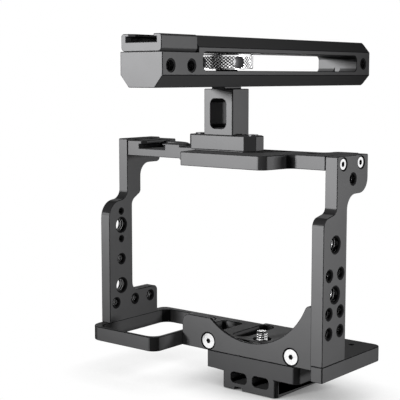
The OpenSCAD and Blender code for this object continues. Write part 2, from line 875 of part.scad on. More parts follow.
// Riser block with cut corners on a smaller foot, which leaves a shadow gap
module riser_block() {
    x0 = post_x - riser_w / 2;
    x1 = post_x + riser_w / 2;
    y0 = post_front - riser_ahead;
    y1 = y0 + riser_d;
    color(anodised)
        difference() {
            union() {
                plan_plate(cut_box_outline(x0, y0, x1, y1, riser_cut, edge_r),
                           cage_h + riser_foot_h, riser_top);
                plan_plate(cut_box_outline(x0 + riser_foot_in, y0 + riser_foot_in,
                                           x1 - riser_foot_in, y1 - riser_foot_in, riser_cut, edge_r),
                           cage_h, cage_h + riser_foot_h + tiny);
            }
            at_riser_screws()
                screw_hole(riser_screw_recess_d, riser_screw_recess_h, riser_screw_shank_d, riser_h);
            at_post_screws()
                screw_hole(base_screw_recess_d, base_screw_recess_h, cap_shank_d, riser_h);
        }
}

module riser_screws() {
    color(bright_steel)
        at_riser_screws()
            cap_screw(riser_screw_head_d, riser_screw_head_h, riser_screw_shank_d,
                      riser_h - riser_screw_recess_h + riser_screw_grip, cap_hex_d, cap_hex_h);
}

// Post with a window, and a tongue that guides the handle
module handle_post() {
    x0 = post_x - post_w / 2;
    x1 = post_x + post_w / 2;
    window_z = riser_top + post_window_up;
    color(anodised)
        difference() {
            union() {
                plan_plate(box_outline(x0, post_front, x1, post_front + post_d, edge_r),
                           riser_top, post_top - shoulder_drop);
                plan_plate(box_outline(post_x - tongue_w / 2, post_front,
                                       post_x + tongue_w / 2, post_front + post_d, 0),
                           post_top - shoulder_drop - tiny, post_top + tongue_h);
            }
            front_plate(box_outline(post_x - post_window_w / 2, window_z,
                                    post_x + post_window_w / 2, window_z + post_window_h, small_r),
                        post_front - tiny, post_front + post_d + tiny);
            translate([post_x, post_y, post_top + tongue_h - stud_hole_depth])
                cylinder(h = stud_hole_depth + tiny, d = stud_d + screw_gap);
            at_post_screws()
                screw_hole(cap_shank_d, 0, cap_shank_d, riser_h - base_screw_recess_h + post_screw_up);
        }
}

module post_screws() {
    color(dark_steel)
        at_post_screws()
            cap_screw(base_screw_head_d, base_screw_head_h, cap_shank_d,
                      riser_h - base_screw_recess_h + post_screw_up, cap_hex_d, cap_hex_h);
}

// Stud from the post up through the slot in the handle floor
module clamp_stud() {
    z0 = post_top + tongue_h - stud_hole_depth;
    z1 = slot_floor + washer_h + wheel_h - wheel_edge;
    color(bright_steel)
        translate([post_x, post_y, z0])
            cylinder(h = z1 - z0, d = stud_d);
}

module wheel_washer() {
    color(nylon)
        translate([post_x, post_y, slot_floor])
            difference() {
                cylinder(h = washer_h, d = washer_d);
                translate([0, 0, -tiny])
                    cylinder(h = washer_h + 2 * tiny, d = stud_d + 2 * bore_play);
            }
}

// Knurled wheel: a hub, a rim with tommy holes, a groove and a top flange
module thumbwheel() {
    wheel_z = slot_floor + washer_h;
    wheel_r = wheel_d / 2;
    groove_z = rim_under + rim_h;
    profile = [[stud_d / 2 + bore_play, 0, 0], [hub_d / 2, 0, 0], [hub_d / 2, rim_under, 0],
               [wheel_r - wheel_edge, rim_under, 0], [wheel_r, rim_under + wheel_edge, 0],
               [wheel_r, groove_z, 0], [wheel_r - rim_groove_deep, groove_z, 0],
               [wheel_r - rim_groove_deep, groove_z + rim_groove, 0],
               [wheel_r, groove_z + rim_groove, 0], [wheel_r - wheel_edge, wheel_h, 0],
               [stud_d / 2 + bore_play, wheel_h, 0]];
    color(bright_steel)
        translate([post_x, post_y, wheel_z])
            difference() {
                rotate_extrude($fn = 128)
                    polygon(rounded(profile));
                for (i = [0 : capstan_count - 1])
                    rotate([0, 0, capstan_turn + i * 360 / capstan_count])
                        translate([wheel_r - capstan_deep, 0, rim_under + rim_h / 2])
                            rotate([0, 90, 0])
                                cylinder(h = capstan_deep + overrun, r = capstan_r);
            }
}

shoe_block_z = handle_top - shoe_block_h;
shoe_block_floor = handle_top - lip_t - shoe_slot_h;

// Handle bar: chamfered section, side slot, stud slot, tongue groove, shoe step
module handle_body() {
    half_w = handle_w / 2;
    y0 = -handle_front;
    step_y = y0 + shoe_block_l + step_gap;
    section = [[-half_w + chamfer_x, post_top, 0], [half_w - chamfer_x, post_top, 0],
               [half_w, post_top + chamfer_z, 0], [half_w, handle_top - chamfer_z, 0],
               [half_w - chamfer_x, handle_top, 0], [-half_w + chamfer_x, handle_top, 0],
               [-half_w, handle_top - chamfer_z, 0], [-half_w, post_top + chamfer_z, 0]];
    low_section = [[-half_w + chamfer_x, post_top, 0], [half_w - chamfer_x, post_top, 0],
                   [half_w, post_top + chamfer_z, 0], [half_w, shoe_block_z, 0],
                   [-half_w, shoe_block_z, 0], [-half_w, post_top + chamfer_z, 0]];
    profile = [[y0, post_top, 0], [handle_back - end_chamfer, post_top, 0],
               [handle_back, post_top + end_chamfer, 0], [handle_back, handle_top - end_chamfer, 0],
               [handle_back - end_chamfer, handle_top, 0], [y0, handle_top, 0]];
    side_slot = box_outline(slot_y0, slot_floor, slot_y1, slot_ceiling, slot_corner_r);
    color(anodised)
        translate([post_x, 0, 0])
            difference() {
                union() {
                    front_plate(low_section, y0, step_y + tiny);
                    intersection() {
                        front_plate(section, step_y, handle_back);
                        side_plate(profile, -half_w - overrun, half_w + overrun);
                    }
                }
                side_plate(side_slot, -half_w - overrun, half_w + overrun);
                translate([-stud_slot_w / 2, slot_y0, post_top - tiny])
                    cube([stud_slot_w, slot_y1 - slot_y0, handle_h / 2]);
                translate([-tongue_w / 2 - groove_play, y0 + tongue_groove_y0, post_top - tiny])
                    cube([tongue_w + 2 * groove_play, handle_l - tongue_groove_y0 - tongue_groove_end,
                          groove_depth + tiny]);
                for (y = side_hole_y)
                    bore_x(quarter_r, y0 + y, between(post_top, shoe_block_z, side_hole_share),
                           -half_w, half_w);
                bore_x(quarter_r, handle_back - back_hole_y, handle_mid_z, -half_w, half_w);
                for (side = [-1, 1])
                    translate([side * shoe_screw_half, y0 + shoe_screw_y, shoe_block_z - shoe_screw_grip])
                        cylinder(h = shoe_screw_grip + tiny, d = shoe_screw_d + screw_gap);
            }
}

// Separate shoe block on the front step of the handle
module handle_shoe() {
    half_w = shoe_block_w / 2;
    color(anodised)
        difference() {
            translate([post_x, 0, 0])
                front_plate([[-half_w, shoe_block_z, shoe_corner_r], [half_w, shoe_block_z, shoe_corner_r],
                             [half_w, handle_top, shoe_top_r], [-half_w, handle_top, shoe_top_r]],
                            -handle_front, -handle_front + shoe_block_l);
            translate([0, 0, shoe_block_floor])
                shoe_slot(shoe_block_l + overrun, lip_t, post_x, -handle_front);
            at_shoe_screws() {
                translate([0, 0, -shoe_screw_head_h])
                    cylinder(h = shoe_screw_head_h + tiny, d1 = shoe_screw_d + screw_gap,
                             d2 = shoe_screw_head_d + screw_gap);
                translate([0, 0, -shoe_block_h])
                    cylinder(h = shoe_block_h, d = shoe_screw_d + screw_gap);
            }
        }
}

module handle_shoe_screws() {
    shank_end = shoe_block_floor - shoe_block_z + shoe_screw_grip;
    color(bright_steel)
        at_shoe_screws()
            difference() {
                union() {
                    translate([0, 0, -shoe_screw_head_h])
                        cylinder(h = shoe_screw_head_h, d1 = shoe_screw_d, d2 = shoe_screw_head_d);
                    translate([0, 0, -shank_end])
                        cylinder(h = shank_end - shoe_screw_head_h + tiny, d = shoe_screw_d);
                }
                translate([0, 0, -cap_hex_h])
                    cylinder(h = cap_hex_h + tiny, d = shoe_screw_hex_d, $fn = 6);
            }
}

// The whole part stands with its origin under the middle of its box
module placed() {
    translate([-(left_x + right_x) / 2, -(handle_back - handle_front) / 2, -rail_bottom])
        children();
}

placed() base_plate();
placed() left_arm();
placed() right_arm();
placed() top_plate();
placed() lens_support_plate();
placed() lens_support_screws();
placed() arm_top_screws();
placed() arm_base_screws();
placed() quick_release_plate();
placed() quick_release_screws();
placed() camera_screw();
placed() camera_screw_clip();
placed() riser_block();
placed() riser_screws();
placed() handle_post();
placed() post_screws();
placed() clamp_stud();
placed() wheel_washer();
placed() thumbwheel();
placed() handle_body();
placed() handle_shoe();
placed() handle_shoe_screws();
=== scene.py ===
import json
import math

import bmesh
import bpy
from mathutils import Matrix, Vector


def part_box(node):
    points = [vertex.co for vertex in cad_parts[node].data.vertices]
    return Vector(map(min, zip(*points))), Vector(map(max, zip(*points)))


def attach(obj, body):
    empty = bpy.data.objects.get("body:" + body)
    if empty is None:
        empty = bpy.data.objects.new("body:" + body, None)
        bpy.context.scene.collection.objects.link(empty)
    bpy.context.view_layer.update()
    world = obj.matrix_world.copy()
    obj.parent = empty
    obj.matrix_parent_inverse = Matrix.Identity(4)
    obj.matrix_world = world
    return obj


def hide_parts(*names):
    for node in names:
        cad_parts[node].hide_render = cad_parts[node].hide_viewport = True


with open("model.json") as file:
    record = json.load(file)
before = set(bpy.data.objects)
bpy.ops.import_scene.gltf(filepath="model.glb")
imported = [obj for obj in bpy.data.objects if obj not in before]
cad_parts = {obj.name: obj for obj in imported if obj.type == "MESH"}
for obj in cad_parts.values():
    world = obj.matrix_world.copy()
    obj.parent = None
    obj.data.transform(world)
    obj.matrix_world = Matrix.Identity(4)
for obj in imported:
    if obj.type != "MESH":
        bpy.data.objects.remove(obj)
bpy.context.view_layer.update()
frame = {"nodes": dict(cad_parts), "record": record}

nodes = frame["nodes"]
mm = 0.001

# Bottom plate
# A plate of black anodised aluminium with a grip loop, cut from one sheet on a mill,
# blasted to an even satin grain, with a small broken edge all round.
blasted_black = (0.12, 0.12, 0.122)
# The broken edges of the anodised parts are painted near black, a painted shade.
edge_shade_black = (0.02, 0.02, 0.021)
blasted_rough = (0.42, 0.56)
edge_rough = (0.3, 0.4)
anodised_metallic = 0.05
grain_size = 0.35 * mm
grain_depth = 0.03 * mm
grain_strength = 0.35
grain_detail = 3
cloud_size = 22 * mm
cloud_detail = 4
cloud_play = 0.04
noise_low = 0.3
noise_high = 0.7
broken_edge = 0.35 * mm
edge_angle = math.radians(35)
edge_segments = 2
weld_reach = 0.002 * mm
flat_angle = math.radians(0.5)
# Rounded and slanted faces of the anodised parts are painted at this share of their colour, a painted
# shade.
rounded_shade_share = 0.14
round_normal = 0.93
flat_normal = 0.998


def new_finish(name):
    finish = bpy.data.materials.new(name)
    finish.use_nodes = True
    tree = finish.node_tree
    return finish, tree, tree.nodes["Principled BSDF"]


def scaled(colour, share):
    return tuple(min(1, part * share) for part in colour)


def metal_noise(tree, size, detail):
    place = tree.nodes.new("ShaderNodeTexCoord")
    noise = tree.nodes.new("ShaderNodeTexNoise")
    noise.inputs["Scale"].default_value = 1 / size
    noise.inputs["Detail"].default_value = detail
    tree.links.new(place.outputs["Object"], noise.inputs["Vector"])
    return noise.outputs["Fac"]


def shade_between(tree, factor, dark, light):
    ramp = tree.nodes.new("ShaderNodeValToRGB")
    ramp.color_ramp.elements[0].position = noise_low
    ramp.color_ramp.elements[1].position = noise_high
    ramp.color_ramp.elements[0].color = (*dark, 1)
    ramp.color_ramp.elements[1].color = (*light, 1)
    tree.links.new(factor, ramp.inputs["Fac"])
    return ramp.outputs["Color"]


def rough_between(tree, factor, rough):
    spread = tree.nodes.new("ShaderNodeMapRange")
    spread.inputs["From Min"].default_value = noise_low
    spread.inputs["From Max"].default_value = noise_high
    spread.inputs["To Min"].default_value = rough[0]
    spread.inputs["To Max"].default_value = rough[1]
    tree.links.new(factor, spread.inputs["Value"])
    return spread.outputs["Result"]


def add_grain(tree, shader, height, depth, strength):
    bump = tree.nodes.new("ShaderNodeBump")
    bump.inputs["Strength"].default_value = strength
    bump.inputs["Distance"].default_value = depth
    tree.links.new(height, bump.inputs["Height"])
    tree.links.new(bump.outputs["Normal"], shader.inputs["Normal"])


# Mask for the painted shade: one on faces square to an axis, falling to nought on rounded and slanted
# faces.
def flatness(tree):
    place = tree.nodes.new("ShaderNodeTexCoord")
    size = tree.nodes.new("ShaderNodeVectorMath")
    size.operation = "ABSOLUTE"
    tree.links.new(place.outputs["Normal"], size.inputs[0])
    parts = tree.nodes.new("ShaderNodeSeparateXYZ")
    tree.links.new(size.outputs["Vector"], parts.inputs["Vector"])
    widest = parts.outputs["X"]
    for other in (parts.outputs["Y"], parts.outputs["Z"]):
        larger = tree.nodes.new("ShaderNodeMath")
        larger.operation = "MAXIMUM"
        tree.links.new(widest, larger.inputs[0])
        tree.links.new(other, larger.inputs[1])
        widest = larger.outputs["Value"]
    flat = tree.nodes.new("ShaderNodeMapRange")
    flat.interpolation_type = "SMOOTHSTEP"
    flat.inputs["From Min"].default_value = round_normal
    flat.inputs["From Max"].default_value = flat_normal
    tree.links.new(widest, flat.inputs["Value"])
    return flat.outputs["Result"]


def anodised(name, colour, rough=blasted_rough, rounds=1):
    finish, tree, shader = new_finish(name)
    grain = metal_noise(tree, grain_size, grain_detail)
    cloud = metal_noise(tree, cloud_size, cloud_detail)
    dark = scaled(colour, 1 - cloud_play)
    light = scaled(colour, 1 + cloud_play)
    blasted = shade_between(tree, cloud, dark, light)
    # Rounded and slanted faces get the darker colour: painted shade.
    if rounds < 1:
        shaded_rounds = tree.nodes.new("ShaderNodeMix")
        shaded_rounds.data_type = "RGBA"
        shaded_rounds.inputs["A"].default_value = (*scaled(colour, rounds), 1)
        tree.links.new(flatness(tree), shaded_rounds.inputs["Factor"])
        tree.links.new(blasted, shaded_rounds.inputs["B"])
        blasted = shaded_rounds.outputs["Result"]
    tree.links.new(blasted, shader.inputs["Base Color"])
    tree.links.new(rough_between(tree, grain, rough), shader.inputs["Roughness"])
    shader.inputs["Metallic"].default_value = anodised_metallic
    shader.inputs["Specular IOR Level"].default_value = 0
    add_grain(tree, shader, grain, grain_depth, grain_strength)
    return finish


def dress(node, finish, edge_finish, edge_width):
    part = nodes[node]
    part.data.materials.clear()
    part.data.materials.append(finish)
    part.data.materials.append(edge_finish)
    weld = part.modifiers.new("joined_corners", "WELD")
    weld.merge_threshold = weld_reach
    flats = part.modifiers.new("whole_flats", "DECIMATE")
    flats.decimate_type = "DISSOLVE"
    flats.angle_limit = flat_angle
    flats.delimit = {"MATERIAL"}
    edge = part.modifiers.new("broken_edge", "BEVEL")
    edge.width = edge_width
    edge.segments = edge_segments
    edge.limit_method = "ANGLE"
    edge.angle_limit = edge_angle
    edge.material = 1
    edge.use_clamp_overlap = False
    edge.harden_normals = True


plate_finish = anodised("plate_anodising", blasted_black, rounds=rounded_shade_share)
# Edge finish for the anodised parts: near black, a painted shade along the broken edges.
plate_edge_shade = anodised("plate_rim_painted_shade", edge_shade_black, edge_rough)
dress("base_plate", plate_finish, plate_edge_shade, broken_edge)

# Lens support plate
# An upright plate under the lens, anodised like the bottom plate and fixed to its
# front by two flat bright screws that sit in dark counterbores.
dress("lens_support_plate", plate_finish, plate_edge_shade, broken_edge)

# Arms
# Two jogged side arms milled from plate. Their tapped holes take quarter inch and three
# eighths inch screws, so each hole shows the crests of its thread.
quarter_pitch = 1.27 * mm
three_eighths_pitch = 1.5875 * mm
quarter_limit = 3.1 * mm
thread_rise = 0.32 * mm
thread_root = 0.02 * mm
thread_ends = 1.6 * mm
thread_steps = 28
thread_rough = (0.3, 0.42)
# The thread's flanks are painted near black, a painted shade inside the holes.
thread_shade_black = (0.03, 0.03, 0.031)
# The crests are painted light grey and metallic on black anodised metal, a painted highlight.
crest_highlight_grey = (0.5, 0.5, 0.505)
crest_highlight_metallic = 0.8
crest_half = 0.08
flank_half = 0.42
arm_black = (0.125, 0.125, 0.127)
arm_finish = anodised("arm_anodising", arm_black, rounds=rounded_shade_share)
dress("left_arm", arm_finish, plate_edge_shade, broken_edge)
dress("right_arm", arm_finish, plate_edge_shade, broken_edge)


def thread_in_hole(mesh, middle, axis, radius, length, pitch):
    side = axis.orthogonal().normalized()
    other = axis.cross(side)
    turns = (length - thread_ends) / pitch
    count = int(turns * thread_steps)
    rows = []
    for i in range(count + 1):
        turn = i / thread_steps
        fade = min(1, turn * 2, (turns - turn) * 2)
        along = (turn - turns / 2) * pitch
        out = side * math.cos(turn * math.tau) + other * math.sin(turn * math.tau)
        crest = radius - thread_rise * max(0, fade)
        root = radius + thread_root
        profile = ((-flank_half, root), (-crest_half, crest), (crest_half, crest), (flank_half, root))
        row = []
        for share, reach in profile:
            row.append(mesh.verts.new(middle + axis * (along + share * pitch) + out * reach))
        rows.append(row)
    for near, far in zip(rows, rows[1:]):
        for i in range(len(near) - 1):
            flank = mesh.faces.new((near[i], near[i + 1], far[i + 1], far[i]))
            # Crest faces take the painted highlight, flanks the painted shade.
            flank.material_index = 1 if i == 1 else 0


def threads(name, body, wanted):
    mesh = bmesh.new()
    for mount in frame["record"]["mounts"]:
        if mount["kind"] == "threaded_hole" and mount["name"].startswith(wanted):
            radius = mount["dims"]["r_mm"] * mm
            length = mount["dims"]["length_mm"] * mm
            pitch = quarter_pitch if radius < quarter_limit else three_eighths_pitch
            thread_in_hole(mesh, Vector(mount["pos_m"]), Vector(mount["axis"]), radius, length, pitch)
    bmesh.ops.recalc_face_normals(mesh, faces=mesh.faces)
    data = bpy.data.meshes.new(name)
    mesh.to_mesh(data)
    mesh.free()
    data.materials.append(thread_shade_finish)
    data.materials.append(crest_highlight_finish)
    piece = bpy.data.objects.new(name, data)
    bpy.context.scene.collection.objects.link(piece)
    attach(piece, body)


thread_shade_finish = anodised("cut_thread_shade", thread_shade_black, thread_rough)
crest_highlight_finish = anodised("thread_crest_highlight", crest_highlight_grey, thread_rough)
crest_highlight_finish.node_tree.nodes["Principled BSDF"].inputs["Metallic"].default_value = crest_highlight_metallic
threads("right_arm_threads", "cage", "right_arm")
threads("left_arm_threads", "cage", ("left_arm", "left_foot"))

# Top plate
# A flat plate with a bulge over the lens and an accessory shoe on the left, one piece,
# tapped for screws. The bulge's front face is plain.
dress("top_plate", plate_finish, plate_edge_shade, broken_edge)
threads("top_plate_threads", "cage", ("top_quarter", "shoe_wall"))

# Screws
# Bright stainless socket screws, turned and polished, greyer ones in the riser block
# and in the handle's shoe, and oxide-blackened ones underneath where nobody looks.
screw_bright = (0.9, 0.9, 0.905)
screw_grey = (0.4, 0.4, 0.405)
blackened_and_hole_shade = (0.22, 0.22, 0.225)
# Sockets, recesses, rims and grooves are painted near black, a painted shade.
socket_shade_dark = (0.03, 0.03, 0.031)
bright_rough = (0.16, 0.3)
grey_rough = (0.2, 0.34)
dark_rough = (0.3, 0.45)
socket_rough = (0.4, 0.5)
smear_size = 1.2 * mm
smear_detail = 5
smear_dark = 0.94
smear_light = 1.04
smear_depth = 0.01 * mm
smear_strength = 0.2
screw_edge = 0.12 * mm
face_depth = 0.3 * mm
side_axis = 0
front_axis = 1
upright_axis = 2


def turned_steel(name, colour, rough):
    finish, tree, shader = new_finish(name)
    smear = metal_noise(tree, smear_size, smear_detail)
    shade = shade_between(tree, smear, scaled(colour, smear_dark), scaled(colour, smear_light))
    tree.links.new(shade, shader.inputs["Base Color"])
    tree.links.new(rough_between(tree, smear, rough), shader.inputs["Roughness"])
    shader.inputs["Metallic"].default_value = 1
    add_grain(tree, shader, smear, smear_depth, smear_strength)
    return finish


bright_steel = turned_steel("bright_screw_steel", screw_bright, bright_rough)
grey_steel = turned_steel("grey_screw_steel", screw_grey, grey_rough)
blackened_steel_and_hole_shade = turned_steel("blackened_screw_steel_and_hole_shade", blackened_and_hole_shade, dark_rough)
socket_shade_black = turned_steel("socket_shade_black", socket_shade_dark, socket_rough)


# Only the flats near a screw's outer ends keep its steel; sockets, sides and rims are painted near
# black, a painted shade.
def dress_screws(node, finish, along):
    dress(node, finish, socket_shade_black, screw_edge)
    part = nodes[node].data
    part.materials.append(socket_shade_black)
    low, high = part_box(node)
    for face in part.polygons:
        depth = min(face.center[along] - low[along], high[along] - face.center[along])
        if depth > face_depth or abs(face.normal[along]) < flat_normal:
            face.material_index = 2


dress_screws("lens_support_screws", bright_steel, front_axis)
dress_screws("arm_top_screws", bright_steel, side_axis)
dress_screws("riser_screws", grey_steel, upright_axis)
dress_screws("handle_shoe_screws", grey_steel, upright_axis)
for node in ("arm_base_screws", "quick_release_screws", "post_screws"):
    dress(node, blackened_steel_and_hole_shade, blackened_steel_and_hole_shade, screw_edge)

# Rail under the plate
# A slab with a rail for a tripod clamp, milled from one bar, with two pockets in its
# front and a groove along each side.
# The rail's black is painted darker than the plates', a painted shade for the dimmer light low on the
# part.
rail_shaded_black = (0.095, 0.095, 0.097)
rail_shaded_finish = anodised("rail_anodising_painted_shade", rail_shaded_black, rounds=rounded_shade_share)
dress("quick_release_plate", rail_shaded_finish, plate_edge_shade, broken_edge)

# Camera screw
# A captive quarter inch screw with a slotted head inside the rail. Its thread stands up
# behind the lens support plate; a nylon clip keeps it in the plate.
thread_depth = 0.6 * mm
groove_share = 0.5
thread_rows = 10
screw_segments = 48
head_height = 3 * mm
head_low_chamfer = 0.4 * mm
head_high_chamfer = 0.3 * mm
shank_radius = 3.1 * mm
neck_radius = 2.5 * mm
neck_length = 1 * mm
collar_height = 0.1 * mm
thread_sunk = 0.3 * mm
point = 0.8 * mm
coin_slot_half = 0.9 * mm
coin_slot_depth = 1.4 * mm


def lathe(name, rings, centre, segments, finish):
    mesh = bmesh.new()
    loops = []
    for ring in rings:
        loop = []
        for i in range(segments):
            angle = i / segments * math.tau
            radius, height = ring(angle) if callable(ring) else ring
            place = Vector((radius * math.cos(angle), radius * math.sin(angle), height))
            loop.append(mesh.verts.new(centre + place))
        loops.append(loop)
    for low, high in zip(loops, loops[1:]):
        for i in range(segments):
            j = (i + 1) % segments
            mesh.faces.new((low[i], low[j], high[j], high[i]))
    mesh.faces.new(reversed(loops[0]))
    mesh.faces.new(loops[-1])
    bmesh.ops.recalc_face_normals(mesh, faces=mesh.faces)
    data = bpy.data.meshes.new(name)
    mesh.to_mesh(data)
    mesh.free()
    data.materials.append(finish)
    piece = bpy.data.objects.new(name, data)
    bpy.context.scene.collection.objects.link(piece)
    return piece


def cut_away(piece, cutter):
    cut = piece.modifiers.new("cut", "BOOLEAN")
    cut.operation = "DIFFERENCE"
    cut.object = cutter
    cut.solver = "EXACT"
    bpy.context.view_layer.update()
    made = piece.evaluated_get(bpy.context.evaluated_depsgraph_get())
    data = bpy.data.meshes.new_from_object(made)
    piece.modifiers.clear()
    piece.data = data
    bpy.data.objects.remove(cutter)


def block(name, low, high):
    mesh = bmesh.new()
    bmesh.ops.create_cube(mesh, size=1)
    size = high - low
    middle = (low + high) / 2
    for vertex in mesh.verts:
        vertex.co = middle + vertex.co * size
    data = bpy.data.meshes.new(name)
    mesh.to_mesh(data)
    mesh.free()
    piece = bpy.data.objects.new(name, data)
    bpy.context.scene.collection.objects.link(piece)
    return piece


screw_low, screw_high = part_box("camera_screw")
screw_foot = Vector(((screw_low.x + screw_high.x) / 2, (screw_low.y + screw_high.y) / 2, screw_low.z))
screw_length = screw_high.z - screw_low.z
head_radius = (screw_high.x - screw_low.x) / 2
plate_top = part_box("base_plate")[1].z
thread_start = plate_top - screw_low.z - thread_sunk
neck_top = thread_start - collar_height
neck_low = neck_top - neck_length


def thread_ring(height):
    def ring(angle):
        phase = (height / quarter_pitch - angle / math.tau) % 1
        crest = abs(2 * phase - 1)
        fade = min(1, 2 * (screw_length - point - height) / quarter_pitch)
        return shank_radius - thread_depth * (1 - crest) * max(0, fade), height
    return ring


thread_length = screw_length - point - thread_start
thread_count = int(thread_length / quarter_pitch * thread_rows)
screw_rings = [(head_radius - head_low_chamfer, 0), (head_radius, head_low_chamfer),
               (head_radius, head_height - head_high_chamfer),
               (head_radius - head_high_chamfer, head_height), (shank_radius, head_height),
               (shank_radius, neck_low), (neck_radius, neck_low), (neck_radius, neck_top),
               (shank_radius, neck_top)]
for i in range(thread_count + 1):
    screw_rings.append(thread_ring(thread_start + i * thread_length / thread_count))
screw_rings.append((shank_radius - point, screw_length))
camera_screw = lathe("camera_screw_threaded", screw_rings, screw_foot, screw_segments, bright_steel)
camera_screw.data.materials.append(socket_shade_black)
# Faces deep in the thread's grooves are painted near black, a painted shade.
for face in camera_screw.data.polygons:
    out = Vector((face.center.x - screw_foot.x, face.center.y - screw_foot.y)).length
    if face.center.z > screw_foot.z + thread_start and out < shank_radius - groove_share * thread_depth:
        face.material_index = 1
coin_slot = block("coin_slot", screw_foot - Vector((2 * head_radius, coin_slot_half, coin_slot_half)),
                  screw_foot + Vector((2 * head_radius, coin_slot_half, coin_slot_depth)))
cut_away(camera_screw, coin_slot)
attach(camera_screw, "camera_screw")
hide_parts("camera_screw")

nylon_black = (0.02, 0.02, 0.021)
nylon_rough = (0.45, 0.62)
nylon_edge = 0.1 * mm
speckle_size = 0.6 * mm
speckle_detail = 4
speckle_dark = 0.8
speckle_light = 1.3
speckle_depth = 0.02 * mm
speckle_strength = 0.3


def nylon(name, colour):
    finish, tree, shader = new_finish(name)
    speckle = metal_noise(tree, speckle_size, speckle_detail)
    shade = shade_between(tree, speckle, scaled(colour, speckle_dark), scaled(colour, speckle_light))
    tree.links.new(shade, shader.inputs["Base Color"])
    tree.links.new(rough_between(tree, speckle, nylon_rough), shader.inputs["Roughness"])
    shader.inputs["Specular IOR Level"].default_value = 0
    add_grain(tree, shader, speckle, speckle_depth, speckle_strength)
    return finish


black_nylon = nylon("black_nylon", nylon_black)
# The clip is real black nylon and also stands in for the shade around the screw's foot: partly painted
# shade.
dress("camera_screw_clip", black_nylon, black_nylon, nylon_edge)

# Riser block and post
# A milled block with cut corners, screwed to the top plate, and on it a post with a
# window. The post's tongue runs in a groove under the handle.
dress("riser_block", plate_finish, plate_edge_shade, broken_edge)
dress("handle_post", plate_finish, plate_edge_shade, broken_edge)

# Handle
# A bar with an octagonal section, milled from solid, with a long slot through its sides
# for the clamp wheel. A separate block with an accessory shoe is screwed to its front.
# The handle's chamfers and rounds are painted at this share of its black, a painted shade.
chamfer_shade_share = 0.4
handle_finish = anodised("handle_anodising", blasted_black, rounds=chamfer_shade_share)
dress("handle_body", handle_finish, plate_edge_shade, broken_edge)
dress("handle_shoe", handle_finish, plate_edge_shade, broken_edge)
threads("handle_threads", "handle", "handle")

# Clamp
# A stud stands in the post. On it turns a knurled steel wheel, which presses the
# handle's slot floor down through a washer; its four holes take a tommy bar.
knurl_wide = 2.15 * mm
knurl_tall = 1.7 * mm
knurl_depth = 0.3 * mm
knurl_samples = 12
knurl_flat = 0.5
knurl_fade = 0.3 * mm
wheel_white = (0.95, 0.95, 0.955)
wheel_rough = (0.18, 0.3)
wheel_bore = 2 * mm
hub_radius = 10 * mm
hub_height = 0.3 * mm
rim_chamfer = 0.4 * mm
rim_low = 0.7 * mm
rim_high = 7 * mm
groove_high = 7.5 * mm
groove_depth = 0.9 * mm
flange_chamfer = 0.3 * mm
tommy_radius = 3.2 * mm
tommy_height = 3.65 * mm
tommy_depth = 4 * mm
tommy_overrun = 2 * mm
tommy_segments = 40
tommy_count = 4
tommy_first = -25
tommy_margin = 1.01
stud_edge = 0.3 * mm
wheel_low, wheel_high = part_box("thumbwheel")
wheel_foot = Vector(((wheel_low.x + wheel_high.x) / 2, (wheel_low.y + wheel_high.y) / 2, wheel_low.z))
wheel_radius = (wheel_high.x - wheel_low.x) / 2
wheel_height = wheel_high.z - wheel_low.z
knurl_count = round(math.tau * wheel_radius / knurl_wide)


def saw(phase):
    return abs(2 * (phase % 1) - 1)


def knurl_ring(height):
    def ring(angle):
        around = knurl_count * angle / math.tau
        up = height / knurl_tall
        peak = min(saw(around + up), saw(around - up))
        edge = min(1, (height - rim_low) / knurl_fade, (rim_high - height) / knurl_fade)
        groove = max(0, 1 - peak / knurl_flat)
        return wheel_radius - knurl_depth * groove * max(0, edge), height
    return ring


knurl_rows = round((rim_high - rim_low) / knurl_tall * knurl_samples)
wheel_rings = [(wheel_bore, 0), (hub_radius, 0), (hub_radius, hub_height),
               (wheel_radius - rim_chamfer, hub_height)]
for i in range(knurl_rows + 1):
    wheel_rings.append(knurl_ring(rim_low + i * (rim_high - rim_low) / knurl_rows))
wheel_rings += [(wheel_radius - groove_depth, rim_high), (wheel_radius - groove_depth, groove_high),
                (wheel_radius, groove_high), (wheel_radius - flange_chamfer, wheel_height),
                (wheel_bore, wheel_height)]
wheel_steel = turned_steel("knurled_wheel_steel", wheel_white, wheel_rough)
wheel = lathe("knurled_wheel", wheel_rings, wheel_foot, knurl_count * knurl_samples, wheel_steel)
wheel.data.materials.append(socket_shade_black)
wheel.data.materials.append(blackened_steel_and_hole_shade)
# Faces deep in the knurl's grooves are painted near black, a painted shade.
for face in wheel.data.polygons:
    out = Vector((face.center.x - wheel_foot.x, face.center.y - wheel_foot.y)).length
    up = face.center.z - wheel_foot.z
    if rim_low < up < rim_high and wheel_radius - knurl_depth < out < wheel_radius - knurl_depth / 2:
        face.material_index = 1
for i in range(tommy_count):
    angle = math.radians(tommy_first + i * 360 / tommy_count)
    tommy_ends = [(tommy_radius, wheel_radius - tommy_depth),
                  (tommy_radius, wheel_radius + tommy_overrun)]
    tommy = lathe("tommy_hole", tommy_ends, Vector((0, 0, 0)), tommy_segments, socket_shade_black)
    turn = Matrix.Rotation(angle, 4, "Z") @ Matrix.Rotation(math.tau / 4, 4, "Y")
    tommy.matrix_world = Matrix.Translation(wheel_foot + Vector((0, 0, tommy_height))) @ turn
    cut_away(wheel, tommy)
    aim = Vector((math.cos(angle), math.sin(angle), 0))
    # The tommy holes' walls and floors take the blackened steel, a painted shade.
    for face in wheel.data.polygons:
        reach = face.center - wheel_foot - Vector((0, 0, tommy_height))
        beside = (reach - aim * reach.dot(aim)).length
        if 0 < reach.dot(aim) < wheel_radius - knurl_depth and beside < tommy_radius * tommy_margin:
            face.material_index = 2
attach(wheel, "wheel")
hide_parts("thumbwheel")
dress("clamp_stud", bright_steel, grey_steel, stud_edge)
dress("wheel_washer", black_nylon, black_nylon, nylon_edge)

